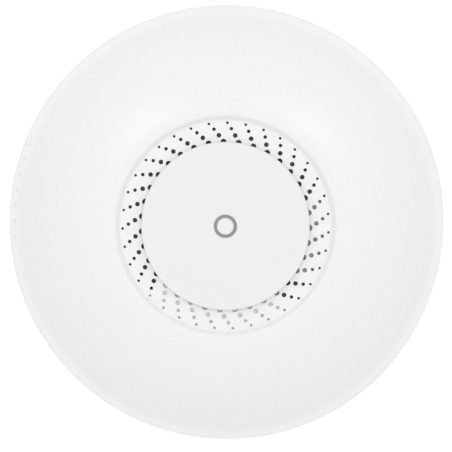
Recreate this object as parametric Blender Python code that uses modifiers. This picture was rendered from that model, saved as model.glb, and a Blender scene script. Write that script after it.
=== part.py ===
"""Ceiling access point: a round dish-shaped unit that twists onto a bayonet ring.

Metres, +Z up. The origin is the centre of the mounting ring's back face, which lies on the
ceiling, so the unit hangs below it and faces down. Sizes are in millimetres, turned into
metres by MM where an object is made.
"""

from math import cos, hypot, pi, radians, sin

import bmesh
import bpy
from mathutils import Vector

MM = 0.001
GAP = 0.3  # clearance between neighbouring pieces

# Overall
RIM_RADIUS = 140.0
RIM_Z = -14.0
FACE_Z = -47.0
QUARTERS = (45, 135, 225, 315)
SIDES = (0, 90, 180, 270)

# Front cover
WALL = 2.4
CREST_RADIUS = 72.0
CREST_Z = -45.6
BRIM_POWER = 1.6
LIP_START = 133.5
FLOOR_Z = -42.5
FLOOR_BACK = -40.7
VENT_ARMS = 35
VENT_ARM_START = -6.6
VENT_SIDES = 6
VENT_ROWS = ((65.2, 0.83, 0.0), (61.5, 1.1, 2.4), (57.4, 1.45, 5.0), (53.2, 1.8, 7.9))
GUIDE_HOLE = 12.5

# Centre
CAP_RADIUS = 53.0
RING_OUTER = 7.3
RING_INNER = 5.3

# Status windows in the lip
WINDOW_COUNT = 7
WINDOW_RADIUS = 136.1
WINDOW_START = 176.3
WINDOW_STEP = 4.32
WINDOW_SIZE = (1.0, 2.2)

# Rear housing
BACK_Z = -1.5
SHELL = 2.2
RECESS_RADIUS = 66.0
RECESS_Z = -9.0
BACK_FLAT = 108.0
EDGE_RADIUS = 137.2
EDGE_Z = -11.0
WELL_X = 20.5
WELL_Y = (7.0, 37.0)
WELL_Z = -25.9
COVER_SCREW_RADIUS = 97.0
BOARD_SCREW_RADIUS = 80.0
SCREW_SEAT = -5.5
SLOTS = 32

# Mounting ring and bayonet
RING_RADIUS = 56.0
LUG_RADIUS = 64.5
LUG_TOP = -4.5
LUG_BOTTOM = -6.7
LUG_PLACES = (90, 210, 330)

# Board stack
BOARD_RADIUS = 90.0
BOARD_TOP = -26.3
BOARD_BOTTOM = -27.9
CAN_BOTTOM = -34.5
SPREADER_TOP = -36.5
SPREADER_BOTTOM = -38.0
STANDOFFS = ((-36, 23), (34, 25), (0, -34))
FRAME_Z = (-39.8, -38.6)
FRAME_RADII = (48.5, 70.0)
FRAME_BRIDGE = 67.8
JACK_SIZE = (16.0, 16.0, 13.4)
JACK_FRONT = 4.7
JACK_PLACES = (-9.0, 9.0)
BRACKET_Z = (-22.0, -20.0)
BRACKET_RADII = (103.0, 119.0)

# Reset button
BUTTON_PLACE = (84.0, 200.0)

PARTS = "ceiling_access_point"
CUTTERS = "cutters"


# ---------------------------------------------------------------- scene and materials
def clear_scene():
    for obj in list(bpy.data.objects):
        bpy.data.objects.remove(obj)


def new_collection(name):
    collection = bpy.data.collections.new(name)
    bpy.context.scene.collection.children.link(collection)
    return collection


def material(name, colour, roughness, metallic=0.0):
    made = bpy.data.materials.new(name)
    made.use_nodes = True
    shader = made.node_tree.nodes["Principled BSDF"]
    shader.inputs["Base Color"].default_value = (*colour, 1.0)
    shader.inputs["Roughness"].default_value = roughness
    shader.inputs["Metallic"].default_value = metallic
    return made


def put(obj, collection, finish=None):
    """Keep the object in one collection only and give it its material."""
    for old in list(obj.users_collection):
        old.objects.unlink(obj)
    bpy.data.collections[collection].objects.link(obj)
    if finish:
        obj.data.materials.clear()
        obj.data.materials.append(bpy.data.materials[finish])
    if collection == CUTTERS:
        obj.hide_render = True
        obj.display_type = "WIRE"
    return obj


# ---------------------------------------------------------------- shapes
def polar(radius, degrees, z=0.0):
    return (radius * cos(radians(degrees)), radius * sin(radians(degrees)), z)


def turned(name, profile, collection, finish=None, steps=48, closed=True):
    """A profile of (radius, z) turned about Z, given down its outer side, top to bottom."""
    mesh = bpy.data.meshes.new(name)
    obj = bpy.data.objects.new(name, mesh)
    bpy.context.scene.collection.objects.link(obj)
    shape = bmesh.new()
    points = [shape.verts.new((r * MM, 0, z * MM)) for r, z in profile]
    for first, second in zip(points, points[1:]):
        shape.edges.new((first, second))
    if closed:
        shape.edges.new((points[-1], points[0]))
    shape.to_mesh(mesh)
    shape.free()
    screw = obj.modifiers.new("turn", "SCREW")
    screw.steps = steps
    screw.render_steps = steps
    screw.use_merge_vertices = True
    screw.merge_threshold = 0.00001
    screw.use_smooth_shade = True
    return put(obj, collection, finish)


def box(name, low, high, collection, finish=None):
    bpy.ops.mesh.primitive_cube_add(size=1)
    obj = bpy.context.object
    obj.name = name
    size = [(h - l) * MM for l, h in zip(low, high)]
    centre = [(h + l) / 2 * MM for l, h in zip(low, high)]
    for vertex in obj.data.vertices:
        vertex.co = Vector(vertex.co[i] * size[i] for i in range(3))
    obj.location = centre
    return put(obj, collection, finish)


def cylinder(name, radius, top, bottom, place, collection, finish=None, sides=20):
    bpy.ops.mesh.primitive_cylinder_add(
        vertices=sides, radius=radius * MM, depth=(top - bottom) * MM
    )
    obj = bpy.context.object
    obj.name = name
    obj.location = (place[0] * MM, place[1] * MM, (top + bottom) / 2 * MM)
    obj.data.shade_smooth()
    obj.data.set_sharp_from_angle(angle=radians(40))
    return put(obj, collection, finish)


def plate(name, outlines, top, bottom, collection, finish=None):
    """Flat outlines in X and Y, the first the outside and the rest holes, made a mesh."""
    curve = bpy.data.curves.new(name, "CURVE")
    curve.dimensions = "2D"
    curve.fill_mode = "BOTH"
    curve.extrude = (top - bottom) / 2 * MM
    for outline in outlines:
        spline = curve.splines.new("POLY")
        spline.points.add(len(outline) - 1)
        for point, (x, y) in zip(spline.points, outline):
            point.co = (x * MM, y * MM, 0, 1)
        spline.use_cyclic_u = True
    guide = bpy.data.objects.new(name + "_guide", curve)
    bpy.context.scene.collection.objects.link(guide)
    bpy.context.view_layer.update()
    graph = bpy.context.evaluated_depsgraph_get()
    mesh = bpy.data.meshes.new_from_object(guide.evaluated_get(graph))
    mesh.name = name
    bpy.data.objects.remove(guide)
    shape = bmesh.new()
    shape.from_mesh(mesh)
    bmesh.ops.remove_doubles(shape, verts=shape.verts, dist=0.000001)
    shape.to_mesh(mesh)
    shape.free()
    obj = bpy.data.objects.new(name, mesh)
    obj.location.z = (top + bottom) / 2 * MM
    bpy.context.scene.collection.objects.link(obj)
    return put(obj, collection, finish)


def arc(radius, start, end, points):
    step = (end - start) / (points - 1)
    return [polar(radius, start + step * i)[:2] for i in range(points)]


def sector(inner, outer, start, end, points=6):
    """The outline of a piece of a ring."""
    return arc(outer, start, end, points) + arc(inner, end, start, points)


def boolean(obj, other, operation):
    modifier = obj.modifiers.new(other.name, "BOOLEAN")
    modifier.operation = operation
    modifier.object = other


def cut(obj, *others):
    for other in others:
        boolean(obj, other, "DIFFERENCE")


def join(obj, *others):
    for other in others:
        boolean(obj, other, "UNION")


def tube(name, route, radius, finish):
    """A thin wire through a smooth curve between the route's points."""
    curve = bpy.data.curves.new(name, "CURVE")
    curve.dimensions = "3D"
    curve.bevel_depth = radius * MM
    curve.bevel_resolution = 2
    curve.use_fill_caps = True
    smooth = smoothed([Vector(point) for point in route], 4)
    spline = curve.splines.new("POLY")
    spline.points.add(len(smooth) - 1)
    for point, place in zip(spline.points, smooth):
        point.co = (*(place * MM), 1)
    obj = bpy.data.objects.new(name, curve)
    bpy.context.scene.collection.objects.link(obj)
    return put(obj, PARTS, finish)


def smoothed(points, between):
    """Points along a Catmull-Rom curve through the given ones."""
    ends = [2 * points[0] - points[1], *points, 2 * points[-1] - points[-2]]
    found = []
    for a, b, c, d in zip(ends, ends[1:], ends[2:], ends[3:]):
        for i in range(between):
            t = i / between
            found.append(
                0.5
                * (
                    2 * b
                    + (c - a) * t
                    + (2 * a - 5 * b + 4 * c - d) * t * t
                    + (3 * b - a - 3 * c + d) * t * t * t
                )
            )
    return found + [points[-1]]


# ---------------------------------------------------------------- front
def brim_z(radius):
    """Height of the brim's outer face between the crest and the lip."""
    share = (radius - CREST_RADIUS) / (RIM_RADIUS - CREST_RADIUS)
    return RIM_Z + (CREST_Z - RIM_Z) * (1 - share**BRIM_POWER)


def brim_inside(radius):
    slope = (brim_z(radius + 0.1) - brim_z(radius - 0.1)) / 0.2 if radius > 75 else 0
    return brim_z(radius) + WALL * hypot(1, slope)


def cover_profile():
    brim = [CREST_RADIUS + (LIP_START - CREST_RADIUS) * i / 5 for i in range(6)]
    lip_outer = [(139.7, -13.6), (140, -14.8), (139.5, -16.2), (138.6, -16.8), (135.2, -18.0)]
    outside = lip_outer + [(r, brim_z(r)) for r in reversed(brim)]
    trench = [(70.9, -45.5), (69.6, -45.0), (68.8, -44.4), (67.5, -43.1), (66.2, FLOOR_Z)]
    inside = [(GUIDE_HOLE, FLOOR_Z), (GUIDE_HOLE, FLOOR_BACK), (66.0, FLOOR_BACK)]
    ridge = [(69.6, -43.2)]
    under = [(r, brim_inside(r)) for r in brim[1:]]
    lip_inner = [(137.6, -15.8), (137.6, -13.2), (139.0, -13.2)]
    return outside + trench + inside + ridge + under + lip_inner


def vent_cutter():
    """All of the round vent holes as one cutter: slanting arms of four holes each."""
    mesh = bpy.data.meshes.new("vent_holes")
    shape = bmesh.new()
    for arm in range(VENT_ARMS):
        for radius, hole, turn in VENT_ROWS:
            angle = VENT_ARM_START + turn + 360 / VENT_ARMS * arm
            made = bmesh.ops.create_cone(
                shape,
                cap_ends=True,
                segments=VENT_SIDES,
                radius1=hole * MM,
                radius2=hole * MM,
                depth=4 * MM,
            )
            place = Vector(polar(radius, angle, (FLOOR_Z + FLOOR_BACK) / 2)) * MM
            bmesh.ops.translate(shape, verts=made["verts"], vec=place)
    shape.to_mesh(mesh)
    shape.free()
    obj = bpy.data.objects.new("vent_holes", mesh)
    bpy.context.scene.collection.objects.link(obj)
    return put(obj, CUTTERS)


def window_outline(index, margin):
    """A status window seen from the front, made larger by the margin on each side."""
    deep, wide = (size / 2 + margin for size in WINDOW_SIZE)
    middle = WINDOW_START + WINDOW_STEP * index
    half = wide / WINDOW_RADIUS * 180 / pi
    return sector(WINDOW_RADIUS - deep, WINDOW_RADIUS + deep, middle - half, middle + half, 2)


def front_cover():
    cover = turned("front_cover", cover_profile(), PARTS, "white_gloss", steps=60)
    for index, angle in enumerate(QUARTERS):
        x, y, _ = polar(COVER_SCREW_RADIUS, angle)
        post = cylinder(f"cover_post_{index}", 4.5, -14.4, -36.5, (x, y), CUTTERS, sides=12)
        bore = cylinder(f"cover_bore_{index}", 1.8, -10, -26, (x, y), CUTTERS, sides=8)
        join(cover, post)
        cut(cover, bore)
    cut(cover, vent_cutter())
    for index in range(WINDOW_COUNT):
        outline = window_outline(index, 0.15)
        cut(cover, plate(f"window_hole_{index}", [outline], -14.5, -20, CUTTERS))
    return cover


def status_light_pipe():
    """One clear comb: a curved bar under the lip with a finger up to each window."""
    span = WINDOW_STEP * (WINDOW_COUNT - 1)
    outline = sector(133.6, 137.0, WINDOW_START - 2, WINDOW_START + span + 2, 9)
    pipe = plate("status_light_pipe", [outline], -13.4, -15.2, PARTS, "clear_frosted")
    for index in range(WINDOW_COUNT):
        finger = plate(f"finger_{index}", [window_outline(index, -0.15)], -15, -17.4, CUTTERS)
        join(pipe, finger)
    return pipe


def status_led_board():
    span = WINDOW_STEP * (WINDOW_COUNT - 1)
    outline = sector(126.0, 133.0, WINDOW_START - 4, WINDOW_START + span + 4, 9)
    return plate("status_led_board", [outline], -14.4, -15.6, PARTS, "board_green")


def centre_cap():
    face = CAP_RADIUS
    profile = [
        (face, -42.8),
        (face, FACE_Z + 0.6),
        (face - 0.6, FACE_Z),
        (RING_OUTER + GAP, FACE_Z),
        (RING_OUTER + GAP, -42.8),
        (11.5, -42.8),
        (11.5, -45.2),
        (face - 2.6, -45.2),
        (face - 2.6, -42.8),
    ]
    return turned("centre_cap", profile, PARTS, "white_satin", steps=40)


def light_ring():
    profile = [
        (RING_OUTER, -41.2),
        (11.0, -41.2),
        (11.0, -42.4),
        (RING_OUTER, -42.4),
        (RING_OUTER, FACE_Z),
        (RING_INNER, FACE_Z),
        (RING_INNER, -39.8),
        (RING_OUTER, -39.8),
    ]
    return turned("light_ring", profile, PARTS, "light_guide", steps=24)


def light_ring_hub():
    edge = RING_INNER - GAP
    profile = [(0, -40.2), (edge, -40.2), (edge, FACE_Z + 0.2), (edge - 0.2, FACE_Z), (0, FACE_Z)]
    return turned("light_ring_hub", profile, PARTS, "white_satin", steps=24, closed=False)


def led_board():
    return cylinder("led_board", 12.0, -38.3, -39.4, (0, 0), PARTS, "board_green", sides=24)


# ---------------------------------------------------------------- back
def housing_profile():
    return [
        (0, RECESS_Z),
        (RECESS_RADIUS, RECESS_Z),
        (RECESS_RADIUS, BACK_Z),
        (BACK_FLAT - 3, BACK_Z),
        (BACK_FLAT + 2, BACK_Z - 0.8),
        (130.5, EDGE_Z + 0.6),
        (133, EDGE_Z),
        (EDGE_RADIUS, EDGE_Z),
        (EDGE_RADIUS, EDGE_Z - 1.9),
        (132.4, EDGE_Z - 1.9),
        (129.6, EDGE_Z - 1.4),
        (BACK_FLAT + 1, BACK_Z - 3.2),
        (BACK_FLAT - 4, BACK_Z - SHELL),
        (RECESS_RADIUS + SHELL, BACK_Z - SHELL),
        (RECESS_RADIUS + SHELL, RECESS_Z - SHELL),
        (0, RECESS_Z - SHELL),
    ]


def cable_well(housing):
    """The box let into the recess floor, with a window that the jacks look through."""
    low, high = WELL_Y
    wall = 2.0
    outside = box(
        "well_outside",
        (-WELL_X - wall, low - wall, WELL_Z),
        (WELL_X + wall, high + wall, RECESS_Z - 0.5),
        CUTTERS,
    )
    inside = box("well_inside", (-WELL_X, low, WELL_Z + wall), (WELL_X, high, -5), CUTTERS)
    window = box("jack_window", (-17.8, low - 4, -25.2), (17.8, low + 1, -12.3), CUTTERS)
    join(housing, outside)
    cut(housing, inside, window)


def housing_posts(housing):
    for index, angle in enumerate(QUARTERS):
        place = polar(COVER_SCREW_RADIUS, angle)[:2]
        boss = cylinder(f"screw_boss_{index}", 5.5, BACK_Z - 0.5, -14.0, place, CUTTERS, sides=16)
        sink = cylinder(f"screw_sink_{index}", 4.3, 1, SCREW_SEAT, place, CUTTERS, sides=16)
        hole = cylinder(f"screw_hole_{index}", 1.9, 1, -16, place, CUTTERS, sides=8)
        join(housing, boss)
        cut(housing, sink, hole)
        place = polar(BOARD_SCREW_RADIUS, angle)[:2]
        post = cylinder(f"board_post_{index}", 3.5, -3.0, BOARD_TOP + GAP, place, CUTTERS, sides=12)
        bore = cylinder(f"board_bore_{index}", 1.5, -16, -28, place, CUTTERS, sides=8)
        join(housing, post)
        cut(housing, bore)
    for index, angle in enumerate(SIDES):
        place = polar(111, angle)[:2]
        top = BRACKET_Z[1] + GAP
        join(housing, cylinder(f"bracket_post_{index}", 2.5, -4.6, top, place, CUTTERS, sides=8))


def housing_lips(housing):
    """Three inward lips that rest on the mounting ring's lugs."""
    for index, angle in enumerate(LUG_PLACES):
        outline = sector(57.5, RECESS_RADIUS + 1, angle - 10, angle + 10, 5)
        join(housing, plate(f"bayonet_lip_{index}", [outline], -1.8, -4.2, CUTTERS))


def housing_slots(housing):
    """Narrow cooling slots all round the sloping shoulder."""
    for index in range(SLOTS):
        slot = box(f"cooling_slot_{index}", (114, -1.1, -16), (125, 1.1, 0), CUTTERS)
        slot.location = Vector(polar(119.5, 360 / SLOTS * (index + 0.5), -8)) * MM
        slot.rotation_euler.z = radians(360 / SLOTS * (index + 0.5))
        cut(housing, slot)


def rear_housing():
    housing = turned("rear_housing", housing_profile(), PARTS, "white_satin", 48, closed=False)
    housing_lips(housing)
    cable_well(housing)
    housing_posts(housing)
    housing_slots(housing)
    button = polar(*BUTTON_PLACE)[:2]
    cut(housing, cylinder("button_hole", 2.7, 1, -6, button, CUTTERS, sides=12))
    return housing


def mounting_ring():
    """A plate with a short skirt and three outward lugs, each ending in a stop."""
    profile = [
        (0, 0),
        (RING_RADIUS, 0),
        (RING_RADIUS, LUG_BOTTOM),
        (RING_RADIUS - 3, LUG_BOTTOM),
        (RING_RADIUS - 3, -2.5),
        (0, -2.5),
    ]
    ring = turned("mounting_ring", profile, PARTS, "white_satin", 48, closed=False)
    for index, angle in enumerate(LUG_PLACES):
        lug = sector(RING_RADIUS - 1, LUG_RADIUS, angle - 11, angle + 13.5, 6)
        stop = sector(RING_RADIUS - 1, LUG_RADIUS, angle + 10.5, angle + 13.5, 2)
        join(ring, plate(f"lug_{index}", [lug], LUG_TOP, LUG_BOTTOM, CUTTERS))
        join(ring, plate(f"lug_stop_{index}", [stop], -2.0, LUG_TOP - 0.5, CUTTERS))
    cut(ring, box("cable_opening", (-20, 8, -8), (20, 38, 3), CUTTERS))
    for index, (x, y) in enumerate(((44, 0), (-44, 0), (28, -36), (-28, -36))):
        slot = box(f"fixing_slot_{index}", (x - 5, y - 2.5, -8), (x + 5, y + 2.5, 3), CUTTERS)
        cut(ring, slot)
    return ring


def reset_button():
    """A pin with a round head in the housing's hole and a collar under the shell."""
    x, y, _ = polar(*BUTTON_PLACE)
    profile = [(0, -2.5), (2.0, -2.5), (2.35, -2.85), (2.35, -4.4), (3.5, -4.4), (3.5, -5.4)]
    profile += [(1.5, -5.4), (1.5, -20.4), (0, -20.4)]
    button = turned("reset_button", profile, PARTS, "grey_plastic", 16, closed=False)
    button.location = (x * MM, y * MM, 0)
    return button


def reset_switch():
    x, y, _ = polar(*BUTTON_PLACE)
    body = box(
        "reset_switch", (x - 3, y - 3, BOARD_TOP + GAP), (x + 3, y + 3, -22.6), PARTS, "black"
    )
    join(body, cylinder("switch_plunger", 1.6, -21.8, -23, (x, y), CUTTERS, sides=10))
    return body


# ---------------------------------------------------------------- inside
def main_board():
    board = cylinder(
        "main_board", BOARD_RADIUS, BOARD_TOP, BOARD_BOTTOM, (0, 0), PARTS, "board_green", sides=48
    )
    for index, angle in enumerate(QUARTERS):
        place = polar(BOARD_SCREW_RADIUS, angle)[:2]
        cut(board, cylinder(f"board_hole_{index}", 1.7, -20, -32, place, CUTTERS, sides=8))
    return board


def cans_and_pads():
    cans = ((-30, 22, 30, 62), (34, -16, 70, 14), (-66, -40, -28, -6))
    for index, (x0, y0, x1, y1) in enumerate(cans, 1):
        low, high = (x0, y0, CAN_BOTTOM), (x1, y1, BOARD_BOTTOM - GAP)
        box(f"shield_can_{index}", low, high, PARTS, "tinned_steel")
        inset = 8
        box(
            f"thermal_pad_{index}",
            (x0 + inset, y0 + inset, SPREADER_TOP + GAP),
            (x1 - inset, y1 - inset, CAN_BOTTOM - GAP),
            PARTS,
            "thermal_pad",
        )


def heat_spreader():
    """An aluminium plate with two lobes under the vents, one of them raised to the floor."""
    outline = (
        arc(47, -220, -18, 14)
        + arc(72, -14, 34, 7)
        + arc(47, 40, 50, 2)
        + arc(72, 53.5, 139.5, 10)
    )
    spreader = plate(
        "heat_spreader",
        [outline, arc(13.4, 360, 15, 24)],
        SPREADER_TOP,
        SPREADER_BOTTOM,
        PARTS,
        "aluminium",
    )
    lobe = sector(48.5, 70.0, 54.5, 138.5, 10)
    join(spreader, plate("raised_lobe", [lobe], SPREADER_BOTTOM + 0.5, -40.3, CUTTERS))
    for index, place in enumerate(STANDOFFS):
        cut(spreader, cylinder(f"spreader_hole_{index}", 1.7, -30, -45, place, CUTTERS, sides=8))
    return spreader


def antenna_frame():
    """A dark plastic frame that lies under the rest of the vent holes.

    Its two fields are joined by a thin bridge that passes outside the holes.
    """
    inner, outer = FRAME_RADII
    outline = (
        arc(outer, 141, 411.5, 27)
        + arc(inner, 411.5, 396, 3)
        + arc(FRAME_BRIDGE, 396, 342, 8)
        + arc(inner, 342, 141, 20)
    )
    plate("antenna_frame", [outline], FRAME_Z[1], FRAME_Z[0], PARTS, "black")


def standoffs():
    for index, place in enumerate(STANDOFFS, 1):
        top, bottom = BOARD_BOTTOM - GAP, SPREADER_TOP + GAP
        post = cylinder(f"standoff_{index}", 3.0, top, bottom, place, PARTS, "brass", sides=6)
        bore = cylinder(f"standoff_bore_{index}", 1.5, top - 1.5, -40, place, CUTTERS, sides=8)
        cut(post, bore)


def ethernet_jack(index, centre):
    """A network socket lying on the board, its mouth facing the cable well."""
    wide, deep, tall = JACK_SIZE
    top = BOARD_TOP + GAP + tall
    low = (centre - wide / 2, JACK_FRONT - deep, BOARD_TOP + GAP)
    jack = box(f"ethernet_jack_{index}", low, (centre + wide / 2, JACK_FRONT, top), PARTS, "jack")
    mouth = box(f"jack_mouth_{index}", (centre - 5.9, -7.5, -23.2), (centre + 5.9, 6, -15), CUTTERS)
    notch = box(f"jack_notch_{index}", (centre - 3.2, -2, -24.8), (centre + 3.2, 6, -22), CUTTERS)
    cut(jack, mouth, notch)


def antenna(index, angle):
    """A bracket, a folded-F sheet standing on it, and its lead."""
    inner, outer = BRACKET_RADII
    span = 11
    plate(
        f"antenna_bracket_{index}",
        [sector(inner, outer, angle - span, angle + span, 7)],
        BRACKET_Z[1],
        BRACKET_Z[0],
        PARTS,
        "black",
    )
    outline = ((-17, 0), (17, 0), (17, 6.6), (-13, 6.6), (-13, 4.8), (12, 4.8), (12, 2.4), (-17, 2.4))
    sheet = plate(f"antenna_{index}", [outline], 0.35, -0.35, PARTS, "tinned_steel")
    x, y, z = polar(109, angle, BRACKET_Z[0] - GAP)
    sheet.location = (x * MM, y * MM, z * MM)
    sheet.rotation_euler = (radians(-90), 0, radians(angle - 90))
    route = ((78, 15, -29.2), (86, 13, -29.3), (94, 9, -27.4), (101, 5, -24.6), (107, 2, -23.6))
    points = [polar(radius, angle + turn, height) for radius, turn, height in route]
    tube(f"antenna_lead_{index}", points, 0.65, "black")


# ---------------------------------------------------------------- screws
def screw_mesh(name, head_radius, head_height, shank_radius, length):
    """A pan-head cross-recess screw, its head up and the head's seat at Z 0."""
    profile = [
        (0, head_height),
        (head_radius * 0.7, head_height),
        (head_radius, head_height * 0.55),
        (head_radius, 0),
        (shank_radius, 0),
        (shank_radius, -length + 1),
        (shank_radius * 0.5, -length),
        (0, -length),
    ]
    blank = turned(name, profile, CUTTERS, steps=12, closed=False)
    reach = head_radius * 0.55
    low = head_height * 0.45
    cut(blank, box(name + "_slot_a", (-reach, -0.4, low), (reach, 0.4, 9), CUTTERS))
    cut(blank, box(name + "_slot_b", (-0.4, -reach, low), (0.4, reach, 9), CUTTERS))
    bpy.context.view_layer.update()
    graph = bpy.context.evaluated_depsgraph_get()
    mesh = bpy.data.meshes.new_from_object(blank.evaluated_get(graph))
    mesh.name = name
    mesh.materials.clear()
    mesh.materials.append(bpy.data.materials["screw_steel"])
    bpy.data.objects.remove(blank)
    return mesh


def place_screw(name, mesh, place, seat, head_down=False):
    obj = bpy.data.objects.new(name, mesh)
    obj.location = (place[0] * MM, place[1] * MM, seat * MM)
    obj.rotation_euler.x = pi if head_down else 0
    bpy.data.collections[PARTS].objects.link(obj)


def screws():
    long_screw = screw_mesh("cover_screw", 3.6, 2.4, 1.5, 18)
    short_screw = screw_mesh("board_screw", 2.7, 1.7, 1.2, 9)
    tiny_screw = screw_mesh("spreader_screw", 2.6, 1.6, 1.15, 7)
    for index, angle in enumerate(QUARTERS, 1):
        place = polar(COVER_SCREW_RADIUS, angle)
        place_screw(f"cover_screw_{index}", long_screw, place, SCREW_SEAT + GAP)
        place = polar(BOARD_SCREW_RADIUS, angle)
        place_screw(f"board_screw_{index}", short_screw, place, BOARD_BOTTOM - GAP, True)
    for index, place in enumerate(STANDOFFS, 1):
        place_screw(f"spreader_screw_{index}", tiny_screw, place, SPREADER_BOTTOM - GAP, True)


# ---------------------------------------------------------------- whole object
def materials():
    material("white_gloss", (0.86, 0.86, 0.85), 0.28)
    material("white_satin", (0.84, 0.84, 0.83), 0.42)
    material("light_guide", (0.48, 0.47, 0.46), 0.35)
    material("clear_frosted", (0.86, 0.87, 0.87), 0.35)
    material("grey_plastic", (0.42, 0.42, 0.42), 0.5)
    material("black", (0.03, 0.03, 0.03), 0.55)
    material("jack", (0.12, 0.12, 0.12), 0.4)
    material("board_green", (0.03, 0.16, 0.08), 0.4)
    material("thermal_pad", (0.45, 0.5, 0.62), 0.8)
    material("aluminium", (0.72, 0.72, 0.73), 0.35, 1.0)
    material("tinned_steel", (0.68, 0.68, 0.66), 0.3, 1.0)
    material("screw_steel", (0.6, 0.6, 0.6), 0.3, 1.0)
    material("brass", (0.75, 0.6, 0.3), 0.3, 1.0)


def main():
    clear_scene()
    new_collection(PARTS)
    new_collection(CUTTERS)
    materials()
    mounting_ring()
    rear_housing()
    front_cover()
    centre_cap()
    light_ring()
    light_ring_hub()
    led_board()
    status_light_pipe()
    status_led_board()
    main_board()
    cans_and_pads()
    heat_spreader()
    antenna_frame()
    standoffs()
    for index, centre in enumerate(JACK_PLACES, 1):
        ethernet_jack(index, centre)
    for index, angle in enumerate(SIDES, 1):
        antenna(index, angle)
    reset_button()
    reset_switch()
    screws()


main()
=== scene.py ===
from math import cos, hypot, pi, radians, sin, tan

import bmesh
import bpy
from mathutils import Matrix, Vector


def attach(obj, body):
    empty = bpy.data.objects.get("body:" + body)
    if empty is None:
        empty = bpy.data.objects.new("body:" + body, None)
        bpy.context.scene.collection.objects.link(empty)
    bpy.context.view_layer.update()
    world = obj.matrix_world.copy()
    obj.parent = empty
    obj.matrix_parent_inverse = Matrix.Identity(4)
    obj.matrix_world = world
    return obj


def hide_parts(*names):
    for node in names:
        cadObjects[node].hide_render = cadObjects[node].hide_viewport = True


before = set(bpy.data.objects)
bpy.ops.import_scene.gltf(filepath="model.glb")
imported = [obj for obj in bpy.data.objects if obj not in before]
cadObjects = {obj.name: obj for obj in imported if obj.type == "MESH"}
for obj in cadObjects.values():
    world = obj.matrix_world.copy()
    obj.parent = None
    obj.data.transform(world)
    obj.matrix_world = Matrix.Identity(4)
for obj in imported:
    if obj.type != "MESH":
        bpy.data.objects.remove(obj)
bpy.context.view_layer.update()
mm = 0.001
levelNormal = 0.99999  # a face whose normal's Z is past this is level
scene = bpy.context.scene


# small helpers
def polar(radius, degrees, z=0.0):
    return Vector((radius * cos(radians(degrees)), radius * sin(radians(degrees)), z))


def filleted(corners, closed=True, segments=5):
    # corners are (radius, z, fillet); each one becomes an arc of that fillet
    points = []
    last = len(corners) - 1
    for i, (x, y, fillet) in enumerate(corners):
        here = Vector((x, y))
        if fillet == 0 or (not closed and i in (0, last)):
            points.append(here)
            continue
        toBefore = (Vector(corners[i - 1][:2]) - here).normalized()
        toAfter = (Vector(corners[(i + 1) % (last + 1)][:2]) - here).normalized()
        half = toBefore.angle(toAfter) / 2
        centre = here + (toBefore + toAfter).normalized() * (fillet / sin(half))
        start = here + toBefore * (fillet / tan(half)) - centre
        end = here + toAfter * (fillet / tan(half)) - centre
        sweep = start.angle(end)
        for k in range(segments + 1):
            t = k / segments
            mixed = start * sin((1 - t) * sweep) + end * sin(t * sweep)
            points.append(centre + mixed / sin(sweep))
    return points


def newObject(name, mesh):
    obj = bpy.data.objects.new(name, mesh)
    scene.collection.objects.link(obj)
    return obj


def meshFrom(shape, name):
    mesh = bpy.data.meshes.new(name)
    shape.to_mesh(mesh)
    shape.free()
    return mesh


def turnedShape(profile, steps, closed=True):
    # the (radius, z) profile in mm turned about Z, poles closed with one point
    shape = bmesh.new()
    rings = []
    for r, z in profile:
        if r < 1e-6:
            rings.append([shape.verts.new((0, 0, z * mm))])
        else:
            turns = [2 * pi * i / steps for i in range(steps)]
            places = [(r * mm * cos(a), r * mm * sin(a), z * mm) for a in turns]
            rings.append([shape.verts.new(place) for place in places])
    pairs = list(zip(rings, rings[1:])) + ([(rings[-1], rings[0])] if closed else [])
    for low, high in pairs:
        for i in range(steps):
            j = (i + 1) % steps
            if len(low) == 1 and len(high) == 1:
                continue
            if len(low) == 1:
                shape.faces.new((low[0], high[i], high[j]))
            elif len(high) == 1:
                shape.faces.new((low[i], high[0], low[j]))
            else:
                shape.faces.new((low[i], high[i], high[j], low[j]))
    return shape


def turnedPiece(name, corners, steps=128, closed=True, segments=5):
    shape = turnedShape(filleted(corners, closed, segments), steps, closed)
    bmesh.ops.recalc_face_normals(shape, faces=shape.faces)
    return newObject(name, meshFrom(shape, name))


def blockPiece(name, low, high, rounding=0.0, segments=3):
    shape = bmesh.new()
    bmesh.ops.create_cube(shape, size=1)
    for vertex in shape.verts:
        vertex.co = Vector(((l + h) / 2 + vertex.co[i] * (h - l)) * mm
                           for i, (l, h) in enumerate(zip(low, high)))
    if rounding:
        bmesh.ops.bevel(shape, geom=shape.edges[:], offset=rounding * mm, segments=segments,
                        affect="EDGES", profile=0.5)
    return newObject(name, meshFrom(shape, name))


def slabShape(outline, top, bottom):
    # an outline in X and Y given a thickness
    shape = bmesh.new()
    face = shape.faces.new([shape.verts.new((x * mm, y * mm, bottom * mm)) for x, y in outline])
    lifted = bmesh.ops.extrude_face_region(shape, geom=[face])["geom"]
    upper = [g for g in lifted if isinstance(g, bmesh.types.BMVert)]
    bmesh.ops.translate(shape, verts=upper, vec=(0, 0, (top - bottom) * mm))
    bmesh.ops.recalc_face_normals(shape, faces=shape.faces)
    return shape


def slabPiece(name, outline, top, bottom, rounding=0.0):
    shape = slabShape(outline, top, bottom)
    if rounding:
        rims = [e for e in shape.edges if len(e.link_faces) == 2 and e.calc_face_angle() > 1]
        bmesh.ops.bevel(shape, geom=rims, offset=rounding * mm, segments=2,
                        affect="EDGES", profile=0.5)
    return newObject(name, meshFrom(shape, name))


def arcOutline(radius, start, end, points):
    return [polar(radius, start + (end - start) * i / (points - 1)).xy for i in range(points)]


def sectorOutline(inner, outer, start, end, points):
    return arcOutline(outer, start, end, points) + arcOutline(inner, end, start, points)


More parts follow.
